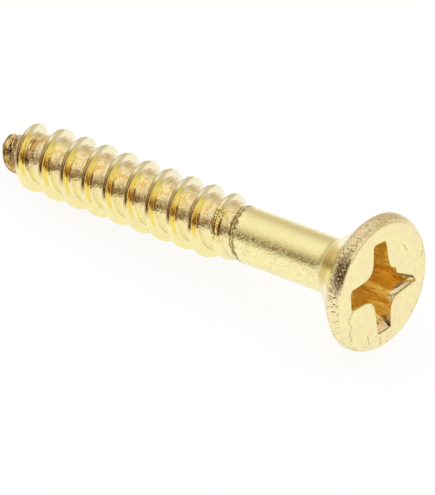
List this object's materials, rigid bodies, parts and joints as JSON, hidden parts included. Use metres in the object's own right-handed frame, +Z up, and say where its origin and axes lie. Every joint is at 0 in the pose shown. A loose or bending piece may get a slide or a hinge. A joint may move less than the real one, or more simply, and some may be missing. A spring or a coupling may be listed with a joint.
{
  "type": "countersunk wood screw",
  "caption": "Solid brass wood screw with a flat countersunk head, a deep cross recess, a plain shank and a coarse right-hand thread to a blunt gimlet point.",
  "frame": {"origin": "on the surface it lies on, below the centre of its bounding box", "axes": "+X along the screw towards the head, within 5 degrees, +Z up"},
  "size_m": [0.0384, 0.011, 0.011],
  "materials": {
    "brass": "bright worn brass, rough on the rim, the thread and the point"
  },
  "bodies": {
    "root": {"wood_screw": "brass"}
  },
  "joints": []
}
